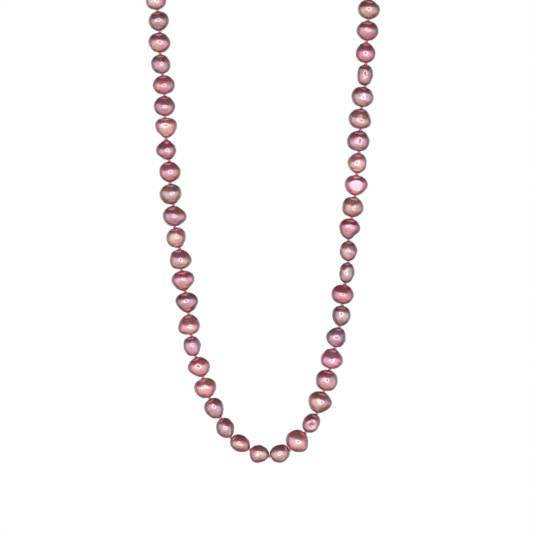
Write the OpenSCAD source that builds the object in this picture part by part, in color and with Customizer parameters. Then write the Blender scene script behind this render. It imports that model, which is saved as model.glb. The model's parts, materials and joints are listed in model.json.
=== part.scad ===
// Knotted baroque pearl necklace, hanging closed from the nape of the neck.
// The front strand hangs as a catenary in one upright plane. Above it both sides lean back
// and turn towards each other, and a lobster clasp joins them at the nape.
// Origin: the middle of the neck opening, level with the top of the front strand.
// +X is to the viewer's right, +Y is towards the nape and +Z is up.

/* [Front strand] */
// Radius of the hanging curve at its lowest point
curve_radius = 14; // [13:0.5:15]
// Height of the strand's origin above the lowest point of the curve
front_drop = 214; // [205:1:225]
// Distance from the neck's middle forward to the front strand
front_y = 19; // [17:0.5:22]
// Room left between two neighbouring pearls for a knot
knot_gap = 0.8; // [0.7:0.05:0.9]

/* [Nape] */
// Distance between knots behind the front strand
nape_pitch = 9.9; // [9.6:0.1:10.1]
// Distance between the two last knots, where the clasp sits
clasp_span = 20.7; // [20.7:0.1:21.5]
// Distance from the neck's middle back to the clasp
clasp_y = 17; // [16.5:0.1:17.5]
// Height of the clasp
clasp_z = 23; // [22.5:0.1:23.5]

/* [Silk] */
// Radius of the silk thread
silk_r = 0.3; // [0.2:0.05:0.3]
// Radius of the hole drilled through each pearl
bore_r = 0.4; // [0.4:0.05:0.5]
// Radius of a knot across the strand
knot_r = 0.66; // [0.5:0.02:0.7]
// Half the height of a knot along the strand
knot_half = 0.24; // [0.15:0.01:0.25]

/* [Clasp] */
// Radius of the claw's hook, to the middle of its wire
hook_r = 3; // [2.9:0.05:3.1]
// Radius of the hook's wire
hook_wire = 0.8; // [0.7:0.05:0.8]
// Radius of the pin that the lever turns on
pin_r = 0.35; // [0.3:0.05:0.4]
// Gap round the lever's hub and beside the lever
lever_gap = 0.1; // [0.05:0.05:0.15]
// Radius of the jump ring, to the middle of its wire
jump_r = 2.85; // [2.85:0.05:2.95]
// Radius of the jump ring's wire
jump_wire = 0.45; // [0.35:0.05:0.45]
// Radius of the end ring, to the middle of its wire
end_ring_r = 3; // [3:0.05:3.1]
// Radius of the end ring's wire
end_ring_wire = 0.5; // [0.4:0.05:0.5]
// Radius of the thread's end loop, to the middle of the thread
loop_r = 1.15; // [1.15:0.05:1.2]
// Outer radius of the coiled wire that covers the end loop
bullion_r = 0.5; // [0.45:0.05:0.5]

/* [Hidden] */
$fn = 48;
PEARL_SIDES = 12;
PEARL_RINGS = 8;
FRONT_PEARLS = 23;
NAPE_PEARLS = 7;
SILK_SIDES = 8;

// The polar angle of a pearl's flat drilled end, and the least radius of that flat.
END_ANGLE = 14;
END_R = 0.8;

// The bottom knot lies a little to the right of the curve's lowest point, and inside it.
BOTTOM_ARC = 2.6;
BOTTOM_OUT = -0.7;

// Each row is one pearl, from the bottom of the strand up, in millimetres:
// [step along the curve, how far its upper knot lies outside the curve,
//  width outside the thread at its upper, middle and lower third,
//  width inside the thread at its upper, middle and lower third, depth front to back]
LEFT_ROWS = [
    [10.6, -2.3, 4.4, 4.6, 3.6, 3.0, 3.5, 3.1, 8.0],
    [10.5, -0.2, 3.5, 3.8, 3.0, 3.6, 4.0, 3.4, 8.2],
    [10.1, -1.0, 3.8, 4.3, 3.6, 3.8, 4.1, 3.3, 8.6],
    [10.2, 0.2, 4.3, 4.5, 3.9, 3.7, 4.0, 3.2, 8.8],
    [9.8, 0.1, 5.2, 5.5, 4.7, 4.2, 4.8, 3.9, 9.8],
    [9.9, 1.0, 4.6, 5.0, 3.8, 4.1, 4.9, 4.3, 9.4],
    [9.7, 0.8, 4.2, 4.4, 3.9, 3.0, 3.3, 2.7, 8.0],
    [9.9, 0.1, 4.1, 5.3, 5.4, 3.6, 4.5, 4.3, 9.2],
    [10.0, 0.0, 4.9, 5.1, 3.8, 4.6, 5.2, 4.1, 9.6],
    [9.9, 0.3, 4.9, 5.1, 4.0, 4.8, 5.2, 3.8, 9.4],
    [9.7, -0.4, 4.4, 4.9, 4.7, 4.0, 5.1, 4.5, 9.6],
    [9.8, 0.8, 4.4, 4.9, 4.1, 3.9, 4.0, 3.1, 9.0],
    [9.9, 0.1, 4.6, 5.1, 4.4, 4.5, 5.7, 4.9, 10.0],
    [10.0, 0.7, 5.0, 5.5, 4.7, 4.1, 4.6, 3.6, 9.8],
    [10.1, 0.0, 4.2, 4.9, 4.0, 4.2, 5.1, 4.4, 9.4],
    [9.9, 0.5, 4.3, 5.3, 4.3, 2.9, 3.9, 3.3, 9.0],
    [9.9, 0.2, 4.6, 4.6, 3.3, 5.0, 5.0, 4.0, 9.2],
    [9.8, -0.5, 4.4, 5.1, 4.4, 3.8, 4.7, 4.3, 9.4],
    [9.3, -0.3, 4.3, 4.9, 4.4, 4.3, 5.0, 4.7, 9.4],
    [9.5, 0.2, 4.2, 4.6, 4.0, 3.4, 4.2, 3.9, 8.8],
    [9.8, -0.5, 4.8, 5.3, 4.5, 3.9, 4.8, 4.2, 9.6],
    [9.6, 0.1, 4.2, 4.6, 3.8, 4.2, 4.8, 4.0, 9.0],
    [9.6, 0.0, 4.2, 5.0, 4.7, 3.6, 4.4, 3.9, 9.0]
];
RIGHT_ROWS = [
    [9.7, 1.0, 3.6, 4.2, 3.8, 3.6, 4.0, 3.5, 8.2],
    [10.2, 1.4, 4.2, 5.3, 4.6, 4.9, 5.5, 5.0, 9.8],
    [9.6, 2.0, 3.4, 3.9, 3.3, 3.3, 3.8, 3.4, 8.0],
    [10.4, 1.3, 4.5, 5.2, 4.0, 5.2, 5.7, 4.8, 10.0],
    [10.1, 1.2, 4.5, 5.2, 4.7, 4.6, 5.1, 4.6, 9.8],
    [9.9, 1.1, 3.7, 4.9, 4.4, 4.3, 5.1, 5.0, 9.4],
    [9.8, 1.2, 3.4, 3.9, 3.6, 4.1, 5.1, 4.4, 8.8],
    [9.8, 0.6, 4.1, 4.4, 3.7, 3.8, 4.0, 3.3, 8.6],
    [9.6, 0.4, 3.9, 4.6, 4.0, 5.0, 5.7, 5.1, 9.6],
    [10.0, 0.5, 3.1, 3.6, 3.1, 3.3, 3.5, 3.0, 7.6],
    [9.7, -0.8, 3.4, 3.9, 3.4, 3.5, 4.0, 3.5, 8.0],
    [10.1, -0.5, 4.2, 4.4, 3.0, 4.8, 5.0, 4.1, 9.0],
    [9.9, -0.1, 3.9, 4.7, 4.1, 4.7, 5.3, 4.9, 9.6],
    [9.9, -0.4, 4.8, 5.3, 4.2, 4.7, 5.2, 4.4, 9.8],
    [10.0, -0.3, 3.6, 4.1, 3.5, 4.0, 4.7, 3.9, 8.8],
    [10.1, -0.6, 3.9, 4.6, 4.1, 5.0, 5.8, 5.3, 9.8],
    [9.9, -0.9, 3.6, 4.6, 4.5, 5.0, 5.6, 5.1, 9.6],
    [9.8, -0.1, 4.0, 4.8, 4.1, 5.0, 5.4, 4.8, 9.6],
    [10.1, -0.5, 3.2, 3.4, 2.9, 3.4, 3.7, 3.5, 7.4],
    [10.0, -0.9, 3.3, 4.2, 3.8, 4.0, 4.7, 4.3, 8.8],
    [9.7, -0.8, 4.5, 5.1, 4.4, 4.3, 4.9, 4.1, 9.2],
    [9.7, -0.5, 3.8, 4.8, 4.2, 4.7, 5.3, 4.6, 9.6],
    [9.8, 0.0, 4.0, 4.7, 4.1, 4.3, 4.8, 4.3, 9.2]
];

// How far each nape pearl but the last leans from upright, and turns from straight back
// towards the clasp, in degrees.
LEAN_LEFT = [12, 36, 62, 80, 90, 90];
LEAN_RIGHT = [20, 44, 68, 84, 90, 90];
TURN_LEFT = [4, 14, 28, 46, 62, 76];
TURN_RIGHT = [5, 12, 24, 38, 54, 70];

// Which front rows the nape pearls are matched to, from the front strand to the clasp.
NAPE_MATCH = [9, 3, 13, 21, 5, 19, 11];

// The claw, in its own plane: the middle of its hook, the lever's pivot and the lever's tip.
HOOK_AT = [1.45, 0, -0.4];
PIVOT_AT = [-1.05, 0, -2];
TIP_AT = [2.7, 0, -2.9];
TAB_AT = [-2.35, 0, -3.9];
EYE_R = 1.4;
EYE_WIRE = 0.4;
EYE_AT = [HOOK_AT[0] - hook_r - EYE_R, 0, 0];
NECK_R = 0.5;
NECK_LENGTH = 0.8;
NECK_SINK = 0.2;
HOOK_START = -62;
HOOK_ARC = 267;
NOSE_X = 3.4;
NOSE_CUT = [2, 4, 3.8];
NOSE_LOW = 5;
HOUSING_R = 1.7;
HOUSING_HALF = 1.3;
SLOT_HALF = 0.62;
SLOT_TOP = 1.1;
SLOT_BACK = 2;
SLOT_LENGTH = 4.2;
SLOT_DEPTH = 3;
THROUGH = 4;
LEVER_WIRE = 0.4;
ARM_START = 0.25;
LEVER_TIP = 0.5;
LEVER_TAB = 0.6;
PIN_PLAY = 0.05;
PIN_PROUD = 0.1;
HUB_R = SLOT_TOP - lever_gap;
HUB_LOW = -SLOT_HALF + lever_gap;
HUB_HIGH = 0.12;
SPRING_R = 0.6;
SPRING_WIRE = 0.12;
SPRING_LEG = 0.09;
SPRING_REACH = 1.4;
CLASP_AT = [0, clasp_y, clasp_z];
LOOP_X = clasp_span / 2 - loop_r;
LINK_SHIFT = 0.15;
JUMP_X = -LOOP_X + LINK_SHIFT + jump_r;
END_RING_X = LOOP_X - LINK_SHIFT - end_ring_r;
BULLION_ARC = 270;
LOOP_SILK = 0.25;
LOOP_KNOT = 0.45;
BULLION_HOLE = 0.3;

function two_digits(n) = n < 10 ? str("0", n) : str(n);
FRONT = [for (n = [1:FRONT_PEARLS]) n];
LEFT_NAMES = [for (n = FRONT) str("pearl_left_", two_digits(n))];
RIGHT_NAMES = [for (n = FRONT) str("pearl_right_", two_digits(n))];

function asinh(x) = ln(x + sqrt(x * x + 1));
function unit(v) = v / norm(v);

// The point at an arc length from the curve's lowest point, moved outside the curve.
function front_point(arc, out) =
    let (slant = sqrt(curve_radius * curve_radius + arc * arc))
    [
        curve_radius * asinh(arc / curve_radius) + out * arc / slant,
        -front_y,
        slant - curve_radius - front_drop - out * curve_radius / slant
    ];

function climbed(rows, n) = n == 0 ? 0 : rows[n - 1][0] + climbed(rows, n - 1);

// The knots of one side, from the bottom knot up. side is -1 on the left and 1 on the right.
function front_knots(rows, side) = [
    for (n = [0:FRONT_PEARLS])
        n == 0
            ? front_point(BOTTOM_ARC, BOTTOM_OUT)
            : front_point(BOTTOM_ARC + side * climbed(rows, n), rows[n - 1][1])
];

function nape_step(lean, turn, side) =
    nape_pitch * [-side * sin(lean) * sin(turn), sin(lean) * cos(turn), cos(lean)];

function nape_knot(start, leans, turns, side, n) =
    n == 0
        ? start
        : nape_knot(start, leans, turns, side, n - 1)
            + nape_step(leans[n - 1], turns[n - 1], side);

function all_knots(rows, leans, turns, side) =
    let (front = front_knots(rows, side))
    concat(
        front,
        [for (n = [1:NAPE_PEARLS - 1]) nape_knot(front[FRONT_PEARLS], leans, turns, side, n)],
        [CLASP_AT + [side * clasp_span / 2, 0, 0]]
    );

LEFT_KNOTS = all_knots(LEFT_ROWS, LEAN_LEFT, TURN_LEFT, -1);
RIGHT_KNOTS = all_knots(RIGHT_ROWS, LEAN_RIGHT, TURN_RIGHT, 1);

// Out from the neck at one pearl: in the strand's own plane in front, level at the nape.
function outward(low, high, side) =
    let (middle = (low + high) / 2)
    high[1] == low[1]
        ? cross([0, side, 0], high - low)
        : [middle[0], middle[1] + front_y / 2, 0];

// Carries a shape built upright at the origin to the line from one point to another,
// with its X side turned to face out.
module along(low, high, out) {
    up = unit(high - low);
    face = unit(out - (out * up) * up);
    back = cross(up, face);
    middle = (low + high) / 2;
    multmatrix([
        [face[0], back[0], up[0], middle[0]],
        [face[1], back[1], up[1], middle[1]],
        [face[2], back[2], up[2], middle[2]],
        [0, 0, 0, 1]
    ])
        children();
}

// The width at height v, from -1 to 1, on a rounded side that is low, mid and high wide
// at -0.5, 0 and 0.5.
function side_width(v, high, mid, low) =
    let (
        level = cos(END_ANGLE),
        round = sqrt(1 - pow(0.5 * level, 2)),
        slope = (high - low) / round,
        bend = 2 * (high + low) / round - 4 * mid
    )
    max(END_R, sqrt(1 - pow(v * level, 2)) * (mid + slope * v + bend * v * v));

function ring_height(k) =
    -cos(END_ANGLE + (180 - 2 * END_ANGLE) * k / PEARL_RINGS) / cos(END_ANGLE);

function pearl_point(row, half, k, j) =
    let (
        v = ring_height(k),
        angle = 360 * j / PEARL_SIDES,
        outer = side_width(v, row[2], row[3], row[4]),
        inner = side_width(v, row[5], row[6], row[7]),
        deep = row[8] / 2 * (outer + inner) / (row[3] + row[6])
    )
    [cos(angle) * (cos(angle) > 0 ? outer : inner), sin(angle) * deep, v * half];

// The faces of a closed skin over a stack of rings that all have the same number of points.
function skin_faces(rings, sides) = concat(
    [
        for (k = [0:rings - 2], j = [0:sides - 1], upper = [0, 1])
            let (
                start = k * sides,
                this = start + j,
                next = start + (j + 1) % sides
            )
            upper == 1
                ? [this, this + sides, next + sides]
                : [this, next + sides, next]
    ],
    [[for (j = [0:sides - 1]) j]],
    [[for (j = [sides - 1:-1:0]) (rings - 1) * sides + j]]
);

module pearl_solid(row, half) {
    polyhedron(
        points = [
            for (k = [0:PEARL_RINGS], j = [0:PEARL_SIDES - 1]) pearl_point(row, half, k, j)
        ],
        faces = skin_faces(PEARL_RINGS + 1, PEARL_SIDES)
    );
}

// One pearl between two knots, drilled along the line through them.
module pearl(row, low, high, side) {
    half = (norm(high - low) - knot_gap) / 2;
    along(low, high, outward(low, high, side))
        difference() {
            pearl_solid(row, half);
            cylinder(h = 2 * half + 1, r = bore_r, center = true);
        }
}

module front_pearl(rows, knots, side, n) {
    color("rosybrown") pearl(rows[n - 1], knots[n - 1], knots[n], side);
}

module nape_pearls(rows, knots, side) {
    color("thistle")
        for (n = [1:NAPE_PEARLS])
            pearl(
                rows[NAPE_MATCH[n - 1]],
                knots[FRONT_PEARLS + n - 1],
                knots[FRONT_PEARLS + n],
                side
            );
}

module nape_pearls_left() {
    nape_pearls(LEFT_ROWS, LEFT_KNOTS, -1);
}

module nape_pearls_right() {
    nape_pearls(RIGHT_ROWS, RIGHT_KNOTS, 1);
}

// The whole thread from one end loop to the other, as a list of knots.
CHAIN = concat([for (n = [len(LEFT_KNOTS) - 1:-1:1]) LEFT_KNOTS[n]], RIGHT_KNOTS);

// A knot's outline: [place along the strand in half heights, radius].
KNOT_STEPS = [
    [-1, silk_r],
    [-0.65, 0.82 * knot_r],
    [0, knot_r],
    [0.65, 0.82 * knot_r],
    [1, silk_r]
];

// A direction that the thread never runs along.
SILK_REF = [1, 1, 1];

function silk_way(n) = unit(unit(CHAIN[n + 1] - CHAIN[n]) + unit(CHAIN[n] - CHAIN[n - 1]));

// Every ring of the thread's skin: [middle, direction, radius].
function silk_rings() =
    let (last = len(CHAIN) - 1)
    concat(
        [[CHAIN[0], unit(CHAIN[1] - CHAIN[0]), silk_r]],
        [
            for (n = [1:last - 1], step = KNOT_STEPS)
                [CHAIN[n] + step[0] * knot_half * silk_way(n), silk_way(n), step[1]]
        ],
        [[CHAIN[last], unit(CHAIN[last] - CHAIN[last - 1]), silk_r]]
    );

function silk_point(ring, angle) =
    let (
        side = unit(cross(SILK_REF, ring[1])),
        back = cross(ring[1], side)
    )
    ring[0] + ring[2] * (cos(angle) * side + sin(angle) * back);

module silk_strand() {
    rings = silk_rings();
    polyhedron(
        points = [
            for (ring = rings, j = [0:SILK_SIDES - 1]) silk_point(ring, 360 * j / SILK_SIDES)
        ],
        faces = skin_faces(len(rings), SILK_SIDES)
    );
}

module ring(radius, wire) {
    rotate_extrude() translate([radius, 0]) circle(wire);
}

// The thread's end loop, which passes through a ring at the clasp and ends in a knot.
module silk_loop(side) {
    translate(CLASP_AT + [side * LOOP_X, 0, 0]) rotate([90, 0, 0]) ring(loop_r, LOOP_SILK);
    translate(CLASP_AT + [side * clasp_span / 2, 0, 0]) sphere(LOOP_KNOT);
}

module silk_thread() {
    color("lightpink") {
        silk_strand();
        silk_loop(-1);
        silk_loop(1);
    }
}

// A tube of fine coiled wire round the thread's end loop, open towards the last knot.
module bullion(side) {
    color("gainsboro")
        translate(CLASP_AT + [side * LOOP_X, 0, 0])
            rotate([90, 0, 0])
                rotate(side > 0 ? 180 - BULLION_ARC / 2 : -BULLION_ARC / 2)
                    rotate_extrude(angle = BULLION_ARC)
                        translate([loop_r, 0])
                            difference() {
                                circle(bullion_r);
                                circle(BULLION_HOLE);
                            }
}

module bullion_left() {
    bullion(-1);
}

module bullion_right() {
    bullion(1);
}

module jump_ring() {
    color("silver") translate(CLASP_AT + [JUMP_X, 0, 0]) ring(jump_r, jump_wire);
}

module end_ring() {
    color("silver") translate(CLASP_AT + [END_RING_X, 0, 0]) ring(end_ring_r, end_ring_wire);
}

// A hook with a round housing for the lever at its heel and an eye behind it.
module clasp_claw() {
    color("silver")
        translate(CLASP_AT)
            difference() {
                union() {
                    translate(HOOK_AT)
                        rotate([90, 0, 0])
                            rotate(HOOK_START)
                                rotate_extrude(angle = HOOK_ARC)
                                    translate([hook_r, 0]) circle(hook_wire);
                    translate(PIVOT_AT)
                        rotate([90, 0, 0])
                            cylinder(h = 2 * HOUSING_HALF, r = HOUSING_R, center = true);
                    translate(EYE_AT) rotate([90, 0, 0]) ring(EYE_R, EYE_WIRE);
                    translate(EYE_AT + [EYE_R - NECK_SINK, 0, 0])
                        rotate([0, 90, 0]) cylinder(h = NECK_LENGTH, r1 = NECK_R, r2 = hook_wire);
                }
                translate([NOSE_X - NOSE_CUT[0], -NOSE_CUT[1] / 2, HOOK_AT[2] - NOSE_LOW])
                    cube(NOSE_CUT);
                translate(PIVOT_AT - [SLOT_BACK, SLOT_HALF, SLOT_DEPTH])
                    cube([SLOT_LENGTH, 2 * SLOT_HALF, SLOT_DEPTH + SLOT_TOP]);
                translate(PIVOT_AT)
                    rotate([90, 0, 0]) cylinder(h = THROUGH, r = pin_r, center = true);
            }
}

// A round bar from part of the way out to its end, with a ball on the end.
module lever_arm(middle, end, ball) {
    start = end * ARM_START + middle * (1 - ARM_START);
    along(start, end, [0, 1, 0.01]) cylinder(h = norm(end - start), r = LEVER_WIRE, center = true);
    translate(end) sphere(ball);
}

// The sprung gate: a hub on the pin, a bar that reaches the nose, and a thumb tab.
module clasp_lever() {
    middle = [0, (HUB_LOW + HUB_HIGH) / 2, 0];
    color("silver")
        translate(CLASP_AT + PIVOT_AT)
            difference() {
                union() {
                    translate([0, HUB_HIGH, 0])
                        rotate([90, 0, 0]) cylinder(h = HUB_HIGH - HUB_LOW, r = HUB_R);
                    lever_arm(middle, TIP_AT - PIVOT_AT, LEVER_TIP);
                    lever_arm(middle, TAB_AT - PIVOT_AT, LEVER_TAB);
                }
                rotate([90, 0, 0]) cylinder(h = THROUGH, r = pin_r + PIN_PLAY, center = true);
            }
}

module clasp_pin() {
    color("gray")
        translate(CLASP_AT + PIVOT_AT)
            rotate([90, 0, 0])
                cylinder(h = 2 * (HOUSING_HALF + PIN_PROUD), r = pin_r, center = true);
}

// One turn of spring wire beside the hub, with a straight leg from its top and its bottom.
module clasp_spring() {
    coil_y = (HUB_HIGH + SLOT_HALF) / 2;
    color("dimgray")
        translate(CLASP_AT + PIVOT_AT + [0, coil_y, 0]) {
            rotate([90, 0, 0]) ring(SPRING_R, SPRING_WIRE);
            for (z = [-SPRING_R, SPRING_R])
                translate([0, 0, z])
                    rotate([0, 90, 0]) cylinder(h = SPRING_REACH, r = SPRING_LEG);
        }
}

for (n = FRONT) {
    front_pearl(LEFT_ROWS, LEFT_KNOTS, -1, n);
    front_pearl(RIGHT_ROWS, RIGHT_KNOTS, 1, n);
}
nape_pearls_left();
nape_pearls_right();
silk_thread();
bullion_left();
bullion_right();
jump_ring();
end_ring();
clasp_claw();
clasp_lever();
clasp_pin();
clasp_spring();
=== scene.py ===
"""Knotted baroque pearl necklace: nacre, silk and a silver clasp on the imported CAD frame."""

import itertools
import json
import math

import bpy
import numpy as np
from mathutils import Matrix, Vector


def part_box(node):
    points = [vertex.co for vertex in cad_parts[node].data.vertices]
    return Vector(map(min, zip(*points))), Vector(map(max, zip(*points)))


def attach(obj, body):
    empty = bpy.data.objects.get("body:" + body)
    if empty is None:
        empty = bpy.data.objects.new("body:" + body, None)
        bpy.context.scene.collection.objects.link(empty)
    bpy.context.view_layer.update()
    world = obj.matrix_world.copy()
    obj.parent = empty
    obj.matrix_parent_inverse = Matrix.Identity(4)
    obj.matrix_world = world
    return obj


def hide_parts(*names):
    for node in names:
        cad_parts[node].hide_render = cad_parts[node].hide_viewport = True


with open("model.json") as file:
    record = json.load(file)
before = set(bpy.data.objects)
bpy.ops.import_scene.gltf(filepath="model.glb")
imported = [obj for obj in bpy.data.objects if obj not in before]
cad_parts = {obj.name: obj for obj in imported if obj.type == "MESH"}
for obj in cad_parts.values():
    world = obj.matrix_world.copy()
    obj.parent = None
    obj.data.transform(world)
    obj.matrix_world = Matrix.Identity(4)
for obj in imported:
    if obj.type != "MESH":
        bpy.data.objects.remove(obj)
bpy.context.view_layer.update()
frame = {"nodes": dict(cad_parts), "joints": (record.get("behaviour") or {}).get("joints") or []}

MM = 0.001
TAU = 2 * math.pi
X, Y, Z = np.eye(3)
# A direction that no part of the strand runs along.
ASKEW = np.array([1.0, 0.31, 0.17])

FRONT_PEARLS = 23
NAPE_PEARLS = 7
# How far a knot's middle is from the pearls on both sides.
KNOT_TO_PEARL = 0.4 * MM
BORE_R = 0.4 * MM
# The corners of a CAD pearl's drilled end lie this near its knot, and this near its axis.
MOUTH_REACH = 0.62 * MM
MOUTH_R = 0.68 * MM
LEAST_MOUTH_CORNERS = 4
# Farther than this from its axis, a CAD pearl's corners lie on its round skin.
SKIN_FROM = 0.7 * MM

# One letter per pearl from the bottom up: the overtone that it mostly shows.
LEFT_TONES = "sbttrslrbrtclgrmcldtrtc"
RIGHT_TONES = "tmdgmrvtdtmdgrcmglbdrgm"
NAPE_TONES = "rmtlcdm"
# One digit per pearl: how pale its body is, in tenths above or below the middle.
LEFT_PALENESS = "36457757366543556455444"
RIGHT_PALENESS = "48344732533447634425335"
MIDDLE_PALENESS = 5
PALENESS_STEP = 0.1
# Display colours of the nacre.
TONES = {
    "r": (206, 106, 118),
    "d": (200, 94, 106),
    "s": (204, 110, 108),
    "m": (196, 106, 118),
    "l": (194, 110, 128),
    "v": (184, 102, 136),
    "t": (184, 112, 114),
    "b": (190, 102, 100),
    "c": (212, 128, 124),
    "g": (200, 124, 110),
}
CHAMPAGNE = (212, 164, 128)
LILAC = (190, 130, 176)
POLE_RED = (140, 52, 56)


# ---------------------------------------------------------------- helpers


def linear(rgb):
    """An 8-bit display colour as a linear one."""
    c = np.array(rgb, float) / 255
    return np.where(c <= 0.04045, c / 12.92, ((c + 0.055) / 1.055) ** 2.4)


def unit(v):
    return v / np.linalg.norm(v, axis=-1, keepdims=True)


def axes(w, hint):
    """Two unit vectors square to w and to each other, the first as near hint as can be."""
    a = unit(hint - (hint @ w) * w)
    return a, np.cross(w, a)


def join(parts):
    """Several (points, faces) pairs as one."""
    points, faces, start = [], [], 0
    for p, f in parts:
        points.append(p)
        faces.extend([tuple(i + start for i in face) for face in f])
        start += len(p)
    return np.vstack(points), faces


def piece(name, shape, material, body, replaced=(), colours=None):
    """A smooth mesh that rides on a body and stands for CAD nodes."""
    points, faces = shape
    mesh = bpy.data.meshes.new(name)
    mesh.from_pydata(np.asarray(points).tolist(), [], faces)
    mesh.polygons.foreach_set("use_smooth", [True] * len(mesh.polygons))
    if colours is not None:
        layer = mesh.color_attributes.new("overtone", "FLOAT_COLOR", "POINT")
        rgba = np.ones((len(points), 4))
        rgba[:, :3] = colours
        layer.data.foreach_set("color", rgba.ravel())
    mesh.materials.append(material)
    obj = bpy.data.objects.new(name, mesh)
    bpy.context.scene.collection.objects.link(obj)
    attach(obj, body)
    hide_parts(*replaced)
    return obj


def grid_faces(rows, columns, wrap_rows=False):
    """Quads over a grid whose columns wrap round."""
    faces = []
    for k in range(rows if wrap_rows else rows - 1):
        for j in range(columns):
            a = k * columns + j
            b = k * columns + (j + 1) % columns
            c = (k + 1) % rows * columns + (j + 1) % columns
            d = (k + 1) % rows * columns + j
            faces.append((a, b, c, d))
    return faces


def carried_frames(path, closed):
    """Frames carried along a path without turning about it: (directions, first, second)."""
    if closed:
        way = unit(np.roll(path, -1, axis=0) - np.roll(path, 1, axis=0))
    else:
        way = unit(np.gradient(path, axis=0))
    hint = np.eye(3)[np.argmin(np.abs(way[0]))]
    first = [axes(way[0], hint)[0]]
    for w in way[1:]:
        first.append(unit(first[-1] - (first[-1] @ w) * w))
    first = np.array(first)
    if closed:
        last = unit(first[-1] - (first[-1] @ way[0]) * way[0])
        side = np.cross(way[0], first[0])
        off = math.atan2(last @ side, last @ first[0])
        turn = -off * np.arange(len(path)) / len(path)
        second = np.cross(way, first)
        first = first * np.cos(turn)[:, None] + second * np.sin(turn)[:, None]
    return way, first, np.cross(way, first)


# Radii of the rings that round off a tube's end, as parts of the tube's radius.
END_CAP = np.array([0.35, 0.75, 0.95])


def tube(path, radius, sides, closed=False):
    """A round skin along a path, with rounded ends where it isn't closed."""
    path = np.asarray(path, float)
    way, first, second = carried_frames(path, closed)
    radius = np.broadcast_to(np.asarray(radius, float), (len(path),)).copy()
    if not closed:
        rise = np.sqrt(1 - END_CAP**2)
        more = len(END_CAP)
        head = [path[0] - way[0] * radius[0] * r for r in rise]
        tail = [path[-1] + way[-1] * radius[-1] * r for r in rise[::-1]]
        path = np.vstack([head, path, tail])
        first = np.vstack([[first[0]] * more, first, [first[-1]] * more])
        second = np.vstack([[second[0]] * more, second, [second[-1]] * more])
        radius = np.concatenate([radius[0] * END_CAP, radius, radius[-1] * END_CAP[::-1]])
    angle = np.arange(sides) / sides * TAU
    around = (
        np.cos(angle)[None, :, None] * first[:, None, :]
        + np.sin(angle)[None, :, None] * second[:, None, :]
    )
    points = (path[:, None, :] + radius[:, None, None] * around).reshape(-1, 3)
    faces = grid_faces(len(path), sides, wrap_rows=closed)
    if not closed:
        last = (len(path) - 1) * sides
        faces.append(tuple(range(sides - 1, -1, -1)))
        faces.append(tuple(range(last, last + sides)))
    return points, faces


PLIES = 2


def plies(path, offset, radius, pitch, sides=6, closed=False):
    """Strands of thread twisted round a path."""
    path = np.asarray(path, float)
    _, first, second = carried_frames(path, closed)
    step = np.linalg.norm(np.diff(path, axis=0), axis=1)
    run = np.concatenate([[0], np.cumsum(step)])
    turn = run / pitch * TAU
    if closed:
        whole = run[-1] + np.linalg.norm(path[0] - path[-1])
        turn = run / whole * TAU * max(1, round(whole / pitch))
    parts = []
    for k in range(PLIES):
        a = turn + TAU * k / PLIES
        line = path + offset * (np.cos(a)[:, None] * first + np.sin(a)[:, None] * second)
        parts.append(tube(line, radius, sides, closed))
    return join(parts)


# ---------------------------------------------------------------- pearls from the frame


# Corners nearer to each other than this are one.
WELD = 1e-7


def solids(node):
    """The separate solids of a CAD node, each as an array of its corner points."""
    mesh = frame["nodes"][node].data
    points = np.array([v.co for v in mesh.vertices], float)
    same, index = np.unique(np.round(points / WELD), axis=0, return_inverse=True)
    index = index.ravel()
    parent = list(range(len(same)))

    def root(i):
        while parent[i] != i:
            parent[i] = parent[parent[i]]
            i = parent[i]
        return i

    for edge in mesh.edges:
        a, b = (root(int(index[v])) for v in edge.vertices)
        parent[a] = b
    groups = {}
    for i in range(len(same)):
        groups.setdefault(root(i), []).append(same[i] * WELD)
    return [np.array(g) for g in groups.values()]


def mouths(points, knot):
    """The ends of a pearl's drilled hole, the one by the knot first. None if it isn't there."""
    near = points[np.linalg.norm(points - knot, axis=1) < MOUTH_REACH]
    if len(near) < LEAST_MOUTH_CORNERS:
        return None
    near = near.mean(axis=0)
    way = unit(near - knot)
    rel = points - near
    height = rel @ way
    off = np.linalg.norm(rel - height[:, None] * way, axis=1)
    far = points[(off < MOUTH_R) & (height > height.max() / 2)].mean(axis=0)
    return near, far


# A little smoothing keeps a pearl's surface from swinging between the CAD's own corners.
SMOOTHING = 2e-3
# The degrees of the fitted surface: an odd one and an even one.
DEGREES = (7, 6)
BASIS_SCALE = 3.0
# How many times an end of a pearl counts in the fit.
END_COUNT = 3


class Pearl:
    """One pearl's place and shape, read from the CAD solid."""

    def __init__(self, points, low, high):
        self.centre = (low + high) / 2
        self.half = np.linalg.norm(high - low) / 2
        self.up = unit(high - low)
        self.side, self.back = axes(self.up, ASKEW)
        rel = points - self.centre
        off = np.linalg.norm(rel - (rel @ self.up)[:, None] * self.up, axis=1)
        rel = rel[off > SKIN_FROM]
        ends = np.array([self.up, -self.up] * END_COUNT) * self.half
        rel = np.vstack([rel, ends])
        local = np.column_stack([rel @ self.side, rel @ self.back, rel @ self.up])
        size = np.linalg.norm(local, axis=1)
        basis = self.basis(local / size[:, None])
        steady = SMOOTHING * np.eye(basis.shape[1])
        self.fit = np.linalg.solve(basis.T @ basis + steady, basis.T @ size)

    @staticmethod
    def basis(d):
        """Every product of the direction's components of each degree."""
        columns = []
        for degree in DEGREES:
            for a in range(degree + 1):
                for b in range(degree + 1 - a):
                    columns.append(d[:, 0] ** a * d[:, 1] ** b * d[:, 2] ** (degree - a - b))
        return np.column_stack(columns) * BASIS_SCALE

    def radius(self, d):
        """The distance from the pearl's centre to its skin in each direction."""
        return self.basis(d) @ self.fit


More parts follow.
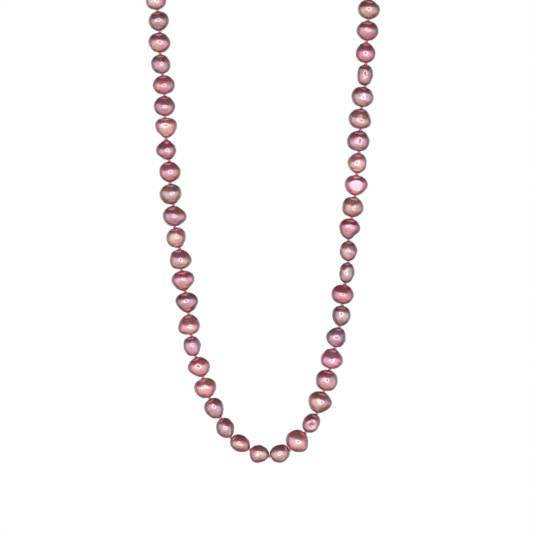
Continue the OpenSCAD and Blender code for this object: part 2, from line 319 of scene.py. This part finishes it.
def chain(points_of, knot, count):
    """Follows the drilled holes from a knot through count pearls.

    Gives [(points, first mouth, far mouth)] and the knots."""
    found, knots = [], [knot]
    for n in range(count):
        for points in points_of(n):
            ends = mouths(points, knot)
            if ends is not None:
                break
        else:
            raise RuntimeError(f"no pearl at knot {n}")
        near, far = ends
        found.append((points, near, far))
        knot = far + unit(far - near) * KNOT_TO_PEARL
        knots.append(knot)
    return found, knots


# A layer's waves differ in length by these factors.
WAVE_SPREAD = (0.75, 1.3)


def wobble(d, seed, size, layers):
    """Smooth random relief over directions d: layers are (wavelength, height, waves)."""
    random = np.random.RandomState(seed)
    total = np.zeros(len(d))
    for wave, height, waves in layers:
        k = unit(random.normal(size=(waves, 3))) * (TAU * size / wave)
        k *= random.uniform(*WAVE_SPREAD, size=(waves, 1))
        phase = random.uniform(0, TAU, waves)
        total += height * np.sin(d @ k.T + phase).sum(axis=1) / math.sqrt(waves)
    return total


RINGS = 60
COLUMNS = 84
# The bumps of a baroque pearl: (wavelength, height, waves).
RELIEF = [(6.5 * MM, 0.095 * MM, 5), (3.6 * MM, 0.060 * MM, 7), (1.6 * MM, 0.005 * MM, 12)]
# The relief fades towards the drilled ends by this power of the distance from the axis.
CALM_POWER = 1.5
# The drilled hole's worn rim and the wall inside it.
RIM_R = BORE_R * 1.12
WALL_R = BORE_R * 0.96
# How far below the rim the worn edge, the wall's start and the wall's plain middle part lie.
WORN_DEPTH = 0.05 * MM
WALL_DEPTH = 0.16 * MM
TUNNEL_DEPTH = 1.2 * MM
# The width of the rounded edge of a flat face.
FLAT_EDGE = 0.05 * MM
# A flat face doesn't reach parts that turn away from it more than this.
LEAST_TOWARD = 0.2
# A flat face is (direction, how far out in half pearls), a dimple (direction, depth, width).
FLAT_FACES = {"pearl_right_14": ((0.05, -0.98, -0.205), 0.89)}
DIMPLES = {"pearl_right_03": ((0.02, -0.95, -0.29), 1.0 * MM, 0.32)}


def pearl_shape(pearl, seed, name=""):
    """The nacre's skin with its drilled hole: (points, faces, each point's direction)."""
    start = math.asin(RIM_R / pearl.half)
    polar = start + (math.pi - 2 * start) * np.arange(RINGS) / (RINGS - 1)
    around = np.arange(COLUMNS) / COLUMNS * TAU
    t, a = np.meshgrid(polar, around, indexing="ij")
    d = np.stack([np.sin(t) * np.cos(a), np.sin(t) * np.sin(a), np.cos(t)], -1).reshape(-1, 3)
    calm = np.sin(t.ravel()) ** CALM_POWER
    size = pearl.radius(d) + wobble(d, seed, pearl.half, RELIEF) * calm
    to_local = np.array([pearl.side, pearl.back, pearl.up])
    if name in FLAT_FACES:
        way, out = FLAT_FACES[name]
        toward = d @ (to_local @ unit(np.array(way)))
        plane = out * pearl.half / np.maximum(toward, LEAST_TOWARD)
        size = -FLAT_EDGE * np.logaddexp(-size / FLAT_EDGE, -plane / FLAT_EDGE)
    if name in DIMPLES:
        way, deep, wide = DIMPLES[name]
        turn = np.arccos(np.clip(d @ (to_local @ unit(np.array(way))), -1, 1))
        size = size - deep * np.exp(-((turn / wide) ** 2))
    local = d * size[:, None]
    skin = local.reshape(RINGS, COLUMNS, 3)
    round_axis = np.stack([np.cos(around), np.sin(around)], -1)

    def ring(radius, height):
        return np.column_stack([round_axis * radius, np.full(COLUMNS, height)])[None]

    # The mouths: a small worn edge, then the straight wall of the hole.
    top = skin[0, :, 2].mean()
    low = skin[-1, :, 2].mean()
    inner = [
        ring(BORE_R, low + WORN_DEPTH),
        ring(WALL_R, low + WALL_DEPTH),
        ring(WALL_R, low + TUNNEL_DEPTH),
        ring(WALL_R, top - TUNNEL_DEPTH),
        ring(WALL_R, top - WALL_DEPTH),
        ring(BORE_R, top - WORN_DEPTH),
    ]
    stack = np.concatenate([skin] + inner)
    faces = [f[::-1] for f in grid_faces(len(stack), COLUMNS, wrap_rows=True)]
    local = stack.reshape(-1, 3)
    points = (
        pearl.centre
        + local[:, :1] * pearl.side
        + local[:, 1:2] * pearl.back
        + local[:, 2:] * pearl.up
    )
    return points, faces, unit(local)


# Clouds of another colour: (shift of the seed, wavelength, where one starts and is full).
CHAMPAGNE_CLOUD = (100, 9 * MM, -0.2, 1.3)
LILAC_CLOUD = (200, 7 * MM, 0.1, 1.5)
# How much a cloud covers, on the tones that it suits and on the others.
CHAMPAGNE_COVER = {True: 0.7, False: 0.45}
LILAC_COVER = {True: 0.7, False: 0.4}
CLOUD_SIZE = 4.5 * MM
CLOUD_WAVES = 6
# The pearl's ends redden from this height up, on a pearl of half height 1, by this much.
POLE_FROM = 0.80
POLE_SOFT = 0.20
POLE_COVER = 0.75
# Faint bands round the pearl: how many radians of them there are, and their depth.
BANDS = (14, 22)
BAND_DEPTH = 0.03


def overtones(d, tone, paleness, seed):
    """The pearl's colour at each point: its tone, clouds of champagne and lilac, redder ends."""
    random = np.random.RandomState(seed + 500)
    base = linear(TONES[tone]) * (1 + PALENESS_STEP * (paleness - MIDDLE_PALENESS))
    colour = np.tile(base, (len(d), 1))

    def cloud(shift, wave, low, high):
        n = wobble(d, seed + shift, CLOUD_SIZE, [(wave, 1.0, CLOUD_WAVES)])
        s = np.clip((n - low) / (high - low), 0, 1)
        return (s * s * (3 - 2 * s))[:, None]

    champagne = CHAMPAGNE_COVER[tone in "cg"]
    lilac = LILAC_COVER[tone in "lv"]
    colour = colour + (linear(CHAMPAGNE) - colour) * cloud(*CHAMPAGNE_CLOUD) * champagne
    colour = colour + (linear(LILAC) - colour) * cloud(*LILAC_CLOUD) * lilac
    pole = np.clip((np.abs(d[:, 2]) - POLE_FROM) / POLE_SOFT, 0, 1)[:, None]
    colour = colour + (linear(POLE_RED) - colour) * pole * POLE_COVER
    bands = random.uniform(*BANDS)
    shade = 1 + BAND_DEPTH * np.sin(d[:, 2] * bands + random.uniform(0, TAU))
    return colour * shade[:, None]


# ---------------------------------------------------------------- materials


def new_material(name):
    """A new material, its node tree and its shader."""
    material = bpy.data.materials.new(name)
    material.use_nodes = True
    tree = material.node_tree
    return material, tree, tree.nodes["Principled BSDF"]


def add_bump(tree, shader, height, strength, distance):
    bump = tree.nodes.new("ShaderNodeBump")
    bump.inputs["Strength"].default_value = strength
    bump.inputs["Distance"].default_value = distance
    tree.links.new(height, bump.inputs["Height"])
    tree.links.new(bump.outputs["Normal"], shader.inputs["Normal"])


def noise(tree, scale, detail, roughness, distortion=0.0):
    """Noise fixed to the piece, in waves of about 1 / scale metres."""
    place = tree.nodes.new("ShaderNodeTexCoord")
    node = tree.nodes.new("ShaderNodeTexNoise")
    node.inputs["Scale"].default_value = scale
    node.inputs["Detail"].default_value = detail
    node.inputs["Roughness"].default_value = roughness
    node.inputs["Distortion"].default_value = distortion
    tree.links.new(place.outputs["Object"], node.inputs["Vector"])
    return node


def mapped(tree, value, start, end):
    """A value's range, a pair, stretched to another pair and cut off there."""
    node = tree.nodes.new("ShaderNodeMapRange")
    for socket, v in zip(("From Min", "From Max", "To Min", "To Max"), (*start, *end)):
        node.inputs[socket].default_value = v
    tree.links.new(value, node.inputs["Value"])
    return node.outputs["Result"]


def feed(tree, socket, value):
    """Links another node's output to a socket, or sets the socket to a plain value."""
    if isinstance(value, bpy.types.NodeSocket):
        tree.links.new(value, socket)
    else:
        socket.default_value = value


def mixed(tree, kind, factor, a, b):
    """Two colours blended: the Mix node's colour sockets are its inputs 6 and 7, its output 2."""
    node = tree.nodes.new("ShaderNodeMix")
    node.data_type = "RGBA"
    node.blend_type = kind
    for index, value in ((0, factor), (6, a), (7, b)):
        feed(tree, node.inputs[index], value)
    return node.outputs[2]


def grey_of(tree, value):
    """A number as a grey colour."""
    grey = tree.nodes.new("ShaderNodeCombineColor")
    for channel in ("Red", "Green", "Blue"):
        tree.links.new(value, grey.inputs[channel])
    return grey.outputs["Color"]


def nacre_material():
    """Metallic-satin nacre: a coloured sheen under a clear glossy skin, with fine platelets."""
    material, tree, shader = new_material("nacre")
    tint = tree.nodes.new("ShaderNodeAttribute")
    tint.attribute_name = "overtone"
    mottle = noise(tree, scale=900, detail=3.0, roughness=0.55, distortion=0.4)
    shade = mapped(tree, mottle.outputs["Fac"], (0.3, 0.7), (0.95, 1.05))
    colour = mixed(tree, "MULTIPLY", 1.0, tint.outputs["Color"], grey_of(tree, shade))
    tree.links.new(colour, shader.inputs["Base Color"])
    platelets = noise(tree, scale=2600, detail=2.0, roughness=0.5)
    shader.inputs["Roughness"].default_value = 0.2
    shader.inputs["Metallic"].default_value = 0.5
    shader.inputs["IOR"].default_value = 2.2
    shader.inputs["Specular IOR Level"].default_value = 1.0
    shader.inputs["Specular Tint"].default_value = (1.0, 0.94, 1.0, 1)
    shader.inputs["Coat Weight"].default_value = 1.0
    shader.inputs["Coat Roughness"].default_value = 0.035
    shader.inputs["Coat IOR"].default_value = 1.6
    add_bump(tree, shader, platelets.outputs["Fac"], strength=0.05, distance=0.02 * MM)
    return material


def silk_material():
    """Matt pink silk, its fibres deeper and paler in turn."""
    material, tree, shader = new_material("silk")
    fibres = noise(tree, scale=5200, detail=3.0, roughness=0.6)
    deep = (*linear((220, 134, 136)), 1)
    pale = (*linear((242, 178, 174)), 1)
    factor = mapped(tree, fibres.outputs["Fac"], (0.3, 0.7), (0, 1))
    tree.links.new(mixed(tree, "MIX", factor, deep, pale), shader.inputs["Base Color"])
    shader.inputs["Roughness"].default_value = 0.55
    shader.inputs["Sheen Weight"].default_value = 0.5
    shader.inputs["Sheen Roughness"].default_value = 0.4
    add_bump(tree, shader, fibres.outputs["Fac"], strength=0.4, distance=0.04 * MM)
    return material


def metal_material(name, colour, roughness):
    """Polished metal with faint wear in its gloss: roughness is the least and the most."""
    material, tree, shader = new_material(name)
    wear = noise(tree, scale=1800, detail=4.0, roughness=0.6, distortion=0.3)
    shader.inputs["Metallic"].default_value = 1.0
    dull = mapped(tree, wear.outputs["Fac"], (0.3, 0.7), roughness)
    tree.links.new(dull, shader.inputs["Roughness"])
    shade = mapped(tree, wear.outputs["Fac"], (0.25, 0.75), (0.92, 1.0))
    worn = mixed(tree, "MULTIPLY", 1.0, (*colour, 1), grey_of(tree, shade))
    tree.links.new(worn, shader.inputs["Base Color"])
    add_bump(tree, shader, wear.outputs["Fac"], strength=0.08, distance=0.02 * MM)
    return material


NACRE = nacre_material()
SILK = silk_material()
SILVER = metal_material("silver", (0.90, 0.88, 0.85), (0.10, 0.22))
STEEL = metal_material("spring_steel", (0.55, 0.55, 0.56), (0.22, 0.35))


# ---------------------------------------------------------------- silk


# A knot's thread runs twice round the strand and five times round its own ring.
KNOT_ROUNDS = 2
KNOT_WRAPS = 5
KNOT_POINTS = 120
KNOT_RING = 0.49 * MM
KNOT_WRAP = 0.22 * MM
# Half a knot's height towards a pearl that moves against it, and towards one that doesn't.
KNOT_FLAT = 0.075 * MM
KNOT_FULL = 0.19 * MM
# The thread of the knots and end loops: how far the plies lie from its middle line in each.
KNOT_OFFSET = 0.07 * MM
FINE_PLY_R = 0.13 * MM
LOOP_OFFSET = 0.10 * MM
FINE_TWIST = 0.9 * MM
FINE_SIDES = 7


def knot_shape(centre, way, seed, high=KNOT_FLAT):
    """A tied knot of twisted thread round the axis way."""
    random = np.random.RandomState(seed + 900)
    t = np.linspace(0, TAU, KNOT_POINTS, endpoint=False)
    side, back = axes(way, ASKEW)
    spin = random.uniform(0, TAU)
    side, back = (
        side * math.cos(spin) + back * math.sin(spin),
        back * math.cos(spin) - side * math.sin(spin),
    )
    around, wraps = KNOT_ROUNDS * t, KNOT_WRAPS * t
    ring = KNOT_RING * random.uniform(0.95, 1.03) + KNOT_WRAP * np.cos(wraps)
    rise = np.sin(wraps) * np.where(np.sin(wraps) > 0, high, KNOT_FULL)
    path = (
        centre
        + (ring * np.cos(around))[:, None] * side
        + (ring * np.sin(around))[:, None] * back
        + rise[:, None] * way
    )
    return plies(path, KNOT_OFFSET, FINE_PLY_R, FINE_TWIST, FINE_SIDES, closed=True)


def thread_shape(a, b):
    """The stretch of thread from one knot to the next."""
    path = a + (b - a) * np.linspace(0.01, 0.99, 60)[:, None]
    return plies(path, offset=0.12 * MM, radius=0.165 * MM, pitch=1.1 * MM)


# ---------------------------------------------------------------- front strand and nape

joint_at = {j["child"]: np.array(j["pos_m"], float) for j in frame["joints"]}
# Every pearl has a number of its own, which its random draws start from.
seeds = itertools.count(1)
BOTTOM_KNOT_SEED = 77
NAPE_KNOT_SEED = 300


def front_strand(side_name, tones, palenesses):
    """One side's front pearls from the top down, each with the knot above it and its thread."""
    names = [f"pearl_{side_name}_{n:02d}" for n in range(FRONT_PEARLS, 0, -1)]
    found, knots = chain(lambda n: solids(names[n]), joint_at[names[0]], FRONT_PEARLS)
    for n, (name, (points, near, far)) in enumerate(zip(names, found)):
        seed = next(seeds)
        skin, faces, d = pearl_shape(Pearl(points, far, near), seed, name)
        from_bottom = FRONT_PEARLS - 1 - n
        colours = overtones(d, tones[from_bottom], int(palenesses[from_bottom]), seed)
        short = name.removeprefix("pearl_")
        piece(f"nacre_{short}", (skin, faces), NACRE, name, [name], colours)
        # The knot above each pearl is on its hinge; the bottom knot goes with the left side.
        above = knots[n - 1] if n else knots[0] * 2 - knots[1]
        parts = [thread_shape(knots[n], knots[n + 1])]
        parts.append(knot_shape(knots[n], unit(above - knots[n + 1]), seed))
        if n == FRONT_PEARLS - 1 and side_name == "left":
            parts.append(knot_shape(knots[-1], X, BOTTOM_KNOT_SEED))
        piece(f"silk_{short}", join(parts), SILK, name, ["silk_thread"])


def nape_strand(side_name):
    """One side's pearls from the front strand's top to the clasp. Gives the last knot."""
    node = f"nape_pearls_{side_name}"
    start = joint_at[f"pearl_{side_name}_{FRONT_PEARLS:02d}"]
    left_over = solids(node)
    knots, parts = [start], []
    for n in range(NAPE_PEARLS):
        [(points, near, far)], (_, knot) = chain(lambda _: left_over, knots[-1], 1)
        left_over = [other for other in left_over if other is not points]
        seed = next(seeds)
        skin, faces, d = pearl_shape(Pearl(points, near, far), seed)
        colours = overtones(d, NAPE_TONES[n], MIDDLE_PALENESS, seed)
        name = f"nacre_nape_{side_name}_{n + 1}"
        piece(name, (skin, faces), NACRE, "nape", [node], colours)
        parts.append(thread_shape(knots[-1], knot))
        knots.append(knot)
    for n in range(1, NAPE_PEARLS + 1):
        after = knots[n + 1] if n < NAPE_PEARLS else knots[n] * 2 - knots[n - 1]
        way = unit(after - knots[n - 1])
        parts.append(knot_shape(knots[n], way, NAPE_KNOT_SEED + n, KNOT_FULL))
    piece(f"silk_nape_{side_name}", join(parts), SILK, "nape", ["silk_thread"])
    return knots[-1]


front_strand("left", LEFT_TONES, LEFT_PALENESS)
last_left = nape_strand("left")
front_strand("right", RIGHT_TONES, RIGHT_PALENESS)
last_right = nape_strand("right")


# ---------------------------------------------------------------- clasp

LOOP_R = 1.15 * MM
LOOP_POINTS = 96
# The French wire is a fine coil that covers the end loop, open towards the knot.
BULLION_SPREAD = math.radians(134)
BULLION_TURNS = 30
BULLION_POINTS = 14
BULLION_COIL = 0.40 * MM
BULLION_WIRE = 0.085 * MM
BULLION_SIDES = 6
RING_POINTS = 160
RING_SIDES = 20
JUMP_WIRE = 0.45 * MM
END_WIRE = 0.5 * MM
# The rings lie flat, across the upright end loops. Each seam is counted from +X towards +Y.
JUMP_SEAM = math.radians(118)
JUMP_CUT = 0.02 * MM
END_SEAM = math.radians(62)
SOLDER_WIDTH = 0.09
SOLDER_SWELL = 0.09
# The end ring's wire is this much thinner than the CAD ring's, which leaves room for the solder.
WIRE_THINNER = 0.03


def on_circle(centre, radius, t, other):
    """Points of a circle in the plane of X and the other axis, at the angles t."""
    return centre + radius * (np.cos(t)[:, None] * X + np.sin(t)[:, None] * other)


def box_of(node):
    """A CAD node's lowest and highest corner."""
    low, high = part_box(node)
    return np.array(low), np.array(high)


def end_loop(side_name, last, inward):
    """The thread's loop at the clasp, and the coil of fine wire over it."""
    centre = last + X * inward * LOOP_R
    loop = on_circle(centre, LOOP_R, np.linspace(0.0, TAU, LOOP_POINTS, endpoint=False), Z)
    thread = plies(loop, LOOP_OFFSET, FINE_PLY_R, FINE_TWIST, FINE_SIDES, closed=True)
    piece(f"silk_loop_{side_name}", thread, SILK, "nape", ["silk_thread"])
    middle = 0.0 if inward > 0 else math.pi
    t = np.linspace(-BULLION_SPREAD, BULLION_SPREAD, BULLION_TURNS * BULLION_POINTS + 1) + middle
    spin = np.linspace(0, TAU * BULLION_TURNS, len(t))
    out = np.cos(t)[:, None] * X + np.sin(t)[:, None] * Z
    path = (
        centre
        + out * (LOOP_R + BULLION_COIL * np.cos(spin))[:, None]
        + Y * (BULLION_COIL * np.sin(spin))[:, None]
    )
    wire = tube(path, BULLION_WIRE, BULLION_SIDES)
    name = f"bullion_{side_name}"
    piece(f"bullion_coil_{side_name}", wire, SILVER, "nape", [name])


def ring_place(node, wire):
    """The centre of a ring's CAD solid and the radius to the middle of its wire."""
    low, high = box_of(node)
    return (low + high) / 2, (high[0] - low[0]) / 2 - wire


def jump_ring():
    """Round wire bent to a ring, whose ends meet at a fine cut."""
    centre, radius = ring_place("jump_ring", JUMP_WIRE)
    gap = JUMP_CUT / radius
    t = np.linspace(JUMP_SEAM + gap, JUMP_SEAM + TAU - gap, RING_POINTS)
    return tube(on_circle(centre, radius, t, Y), JUMP_WIRE, RING_SIDES)


def end_ring():
    """Round wire with a soldered joint that is a little thicker."""
    centre, radius = ring_place("end_ring", END_WIRE)
    t = np.linspace(0, TAU, RING_POINTS, endpoint=False)
    off = np.angle(np.exp(1j * (t - END_SEAM)))
    swell = SOLDER_SWELL * np.exp(-((off / SOLDER_WIDTH) ** 2))
    wire = END_WIRE * (1 + swell - WIRE_THINNER)
    return tube(on_circle(centre, radius, t, Y), wire, RING_SIDES, closed=True)


end_loop("left", last_left, 1.0)
end_loop("right", last_right, -1.0)
piece("ring_jump", jump_ring(), SILVER, "nape", ["jump_ring"])
piece("ring_end", end_ring(), SILVER, "nape", ["end_ring"])


def cast(name, node, body, voxel, rounds):
    """A cast part: the CAD solid, its edges rounded as polishing leaves them."""
    source = frame["nodes"][node].data
    points = np.array([v.co for v in source.vertices], float)
    faces = [tuple(p.vertices) for p in source.polygons]
    obj = piece(name, (points, faces), SILVER, body, [node])
    weld = obj.modifiers.new("weld", "WELD")
    weld.merge_threshold = WELD
    remesh = obj.modifiers.new("remesh", "REMESH")
    remesh.mode = "VOXEL"
    remesh.voxel_size = voxel
    remesh.use_smooth_shade = True
    smooth = obj.modifiers.new("smooth", "SMOOTH")
    smooth.factor = 0.5
    smooth.iterations = rounds
    graph = bpy.context.evaluated_depsgraph_get()
    made = bpy.data.meshes.new_from_object(obj.evaluated_get(graph))
    obj.modifiers.clear()
    obj.data = made
    made.polygons.foreach_set("use_smooth", [True] * len(made.polygons))
    if not made.materials:
        made.materials.append(SILVER)


PIN_R = 0.345 * MM
# The pin's straight part on each side of its middle, as a part of its length.
PIN_STRAIGHT = 0.46
SPRING_R = 0.6 * MM
SPRING_TURNS = 1.5
SPRING_WIRE = 0.085 * MM
# How far the coil spreads to each side, and where a leg starts and ends beside it.
SPRING_SPREAD = 0.085 * MM
LEG_START = 0.1 * MM
LEG_END = 1.35 * MM


def pin(pivot):
    """A plain rod with rounded ends."""
    low, high = box_of("clasp_pin")
    half = (high[1] - low[1]) * PIN_STRAIGHT
    return tube(np.array([pivot + Y * half * u for u in np.linspace(-1, 1, 9)]), PIN_R, 24)


def spring(pivot):
    """A torsion spring: one and a half turns round the lever's hub, with a leg at each end."""
    low, high = box_of("clasp_spring")
    t = np.linspace(0, TAU * SPRING_TURNS, 72)
    coil = np.column_stack(
        [
            pivot[0] - SPRING_R * np.sin(t),
            (low[1] + high[1]) / 2 + np.linspace(-SPRING_SPREAD, SPRING_SPREAD, len(t)),
            pivot[2] + SPRING_R * np.cos(t),
        ]
    )
    first_leg = coil[0] + np.linspace(LEG_END, LEG_START, 12)[:, None] * X
    last_leg = coil[-1] + np.linspace(LEG_START, LEG_END, 12)[:, None] * X
    return tube(np.vstack([first_leg, coil, last_leg]), SPRING_WIRE, 10)


cast("claw_cast", "clasp_claw", "nape", voxel=0.055 * MM, rounds=6)
cast("lever_cast", "clasp_lever", "lever", voxel=0.045 * MM, rounds=5)
lever_pivot = joint_at["lever"]
piece("pin_rod", pin(lever_pivot), STEEL, "nape", ["clasp_pin"])
piece("spring_wire", spring(lever_pivot), STEEL, "nape", ["clasp_spring"])


# ---------------------------------------------------------------- stage, light and camera


ROOM_STOPS = [
    (-1.00, (0.10, 0.04, 0.04)),
    (-0.84, (0.13, 0.07, 0.06)),
    (-0.68, (0.38, 0.35, 0.30)),
    (-0.48, (0.82, 0.88, 0.80)),
    (-0.20, (0.90, 1.04, 1.00)),
    (0.05, (0.82, 0.98, 1.04)),
    (0.20, (0.70, 0.82, 0.90)),
    (0.27, (0.38, 0.38, 0.42)),
    (0.34, (0.08, 0.03, 0.035)),
    (1.00, (0.03, 0.01, 0.012)),
]
# The dark part's edge rises and falls by this much.
WAVER = 0.25
# The room fades towards both sides, from one width to the other, to this level.
SIDES_FADE = (0.5, 0.95)
SIDES_LEVEL = 0.45
# The ring of light: its middle's height, its hole, its outer edge, its strength and colour.
RING_UP = 0.03
RING_HOLE = 0.10
RING_EDGE = 0.21
RING = 1.8
RING_COLOUR = (0.90, 1.0, 1.05)
HOLE_SOFT = 0.03
EDGE_SOFT = 0.05
HOLE_LEVEL = 0.55
# The glow: its height, how wide and how high it spreads, its strength and colour.
GLOW_UP = -0.04
GLOW_ACROSS = 0.45
GLOW_HIGH = 0.25
GLOW = 1.1
GLOW_COLOUR = (0.86, 1.0, 1.18)
# How bright the half behind the strand is, and how bright its lower part.
BEHIND = 0.32
BEHIND_LOW = 0.08

FLOOR_HEIGHT = -0.55
FLOOR_ROWS = [0.0001, 0.15, 0.4, 0.8, 1.6, 3.0]
FLOOR_SIDES = 96


def floor():
    """A plain pale floor far below the strand."""
    t = np.arange(FLOOR_SIDES) / FLOOR_SIDES * TAU
    level = np.full(FLOOR_SIDES, FLOOR_HEIGHT)
    points = np.concatenate(
        [np.column_stack([r * np.cos(t), r * np.sin(t), level]) for r in FLOOR_ROWS]
    )
    mesh = bpy.data.meshes.new("floor")
    mesh.from_pydata(points.tolist(), [], grid_faces(len(FLOOR_ROWS), FLOOR_SIDES))
    material, _, shader = new_material("floor_paint")
    shader.inputs["Base Color"].default_value = (0.90, 0.89, 0.87, 1)
    shader.inputs["Roughness"].default_value = 0.9
    shader.inputs["Emission Color"].default_value = (1.0, 0.98, 0.95, 1)
    shader.inputs["Emission Strength"].default_value = 0.74
    mesh.materials.append(material)
    obj = bpy.data.objects.new("floor", mesh)
    bpy.context.scene.collection.objects.link(obj)
    # The pearls show the room below them, not the floor's edge.
    obj.visible_glossy = False


def studio():
    """A pale room with a dark ceiling, a glow round the camera and a ring of light in it.

    The room is drawn by where a round pearl, seen from the front, would show each direction:
    across and up on its face, from -1 to 1."""
    world = bpy.data.worlds.new("studio")
    bpy.context.scene.world = world
    world.use_nodes = True
    tree = world.node_tree
    place = tree.nodes.new("ShaderNodeTexCoord")
    split = tree.nodes.new("ShaderNodeSeparateXYZ")
    tree.links.new(place.outputs["Generated"], split.inputs["Vector"])

    def calc(kind, *values):
        node = tree.nodes.new("ShaderNodeMath")
        node.operation = kind
        for socket, value in zip(node.inputs, values):
            feed(tree, socket, value)
        return node.outputs[0]

    def bell(value, middle, width):
        off = calc("DIVIDE", calc("SUBTRACT", value, middle), width)
        return calc("EXPONENT", calc("MULTIPLY", calc("MULTIPLY", off, off), -1.0))

    def lit(colour, strength):
        node = tree.nodes.new("ShaderNodeVectorMath")
        node.operation = "SCALE"
        feed(tree, node.inputs[0], colour)
        tree.links.new(strength, node.inputs["Scale"])
        return node.outputs[0]

    def add(a, b):
        node = tree.nodes.new("ShaderNodeVectorMath")
        node.operation = "ADD"
        tree.links.new(a, node.inputs[0])
        tree.links.new(b, node.inputs[1])
        return node.outputs[0]

    # The half behind the strand repeats the half before it.
    depth = calc("ABSOLUTE", split.outputs["Y"])
    scale = calc("SQRT", calc("MULTIPLY", calc("ADD", depth, 1.0), 2.0))
    across = calc("DIVIDE", split.outputs["X"], scale)
    height = calc("DIVIDE", split.outputs["Z"], scale)
    ramp = tree.nodes.new("ShaderNodeValToRGB")
    elements = ramp.color_ramp.elements
    elements[0].position = 0.0
    elements[0].color = (*ROOM_STOPS[0][1], 1)
    elements[1].position = 1.0
    elements[1].color = (*ROOM_STOPS[-1][1], 1)
    for at, colour in ROOM_STOPS[1:-1]:
        elements.new((at + 1) / 2).color = (*colour, 1)
    waver = tree.nodes.new("ShaderNodeTexNoise")
    waver.inputs["Scale"].default_value = 1.6
    waver.inputs["Detail"].default_value = 1.0
    tree.links.new(place.outputs["Generated"], waver.inputs["Vector"])
    lift = calc("MULTIPLY", calc("SUBTRACT", waver.outputs["Fac"], 0.5), WAVER)
    tree.links.new(mapped(tree, calc("ADD", height, lift), (-1, 1), (0, 1)), ramp.inputs["Fac"])

    # The room is dimmer at its sides and in the ring's hole, where the camera stands.
    off = calc("SUBTRACT", height, RING_UP)
    away = calc("SQRT", calc("ADD", calc("MULTIPLY", across, across), calc("MULTIPLY", off, off)))
    open_part = mapped(tree, away, (RING_HOLE, RING_HOLE + HOLE_SOFT), (0, 1))
    sides = mapped(tree, calc("ABSOLUTE", across), SIDES_FADE, (1.0, SIDES_LEVEL))
    hole = mapped(tree, open_part, (0, 1), (HOLE_LEVEL, 1))
    wall = lit(ramp.outputs["Color"], calc("MULTIPLY", sides, hole))
    spread = calc("MULTIPLY", bell(across, 0.0, GLOW_ACROSS), bell(height, GLOW_UP, GLOW_HIGH))
    glow = calc("MULTIPLY", spread, open_part)
    edge = mapped(tree, away, (RING_EDGE, RING_EDGE + EDGE_SOFT), (1, 0))
    ring = calc("MULTIPLY", open_part, edge)
    total = add(wall, lit(GLOW_COLOUR, calc("MULTIPLY", glow, GLOW)))
    total = add(total, lit(RING_COLOUR, calc("MULTIPLY", ring, RING)))

    # The half behind is dimmer, with a dark lower part.
    lower = mapped(tree, split.outputs["Z"], (-0.75, -0.35), (BEHIND_LOW, BEHIND))
    behind = mapped(tree, split.outputs["Y"], (-0.05, 0.15), (0, 1))
    level = calc("SUBTRACT", 1.0, calc("MULTIPLY", behind, calc("SUBTRACT", 1.0, lower)))
    room = lit(total, level)

    # What is seen directly is plain white.
    path = tree.nodes.new("ShaderNodeLightPath")
    seen = mixed(tree, "MIX", path.outputs["Is Camera Ray"], room, (1, 1, 1, 1))
    tree.links.new(seen, tree.nodes["Background"].inputs["Color"])


CAMERA_DISTANCE = 2.0
# How much of the strand's plane the picture shows, and the middle of that.
CAMERA_ACROSS = 0.240
CAMERA_MIDDLE = np.array([0.00109, -0.019, -0.12748])
SENSOR_WIDTH = 36


def camera():
    """Level with the picture's middle, far off with a long lens."""
    data = bpy.data.cameras.new("camera")
    data.sensor_width = SENSOR_WIDTH
    data.lens = SENSOR_WIDTH * CAMERA_DISTANCE / CAMERA_ACROSS
    data.clip_end = 50
    cam = bpy.data.objects.new("camera", data)
    bpy.context.scene.collection.objects.link(cam)
    cam.location = CAMERA_MIDDLE - Y * CAMERA_DISTANCE
    cam.rotation_euler = (math.radians(90), 0, 0)
    bpy.context.scene.camera = cam


floor()
studio()
camera()
bpy.context.scene.view_settings.view_transform = "Standard"
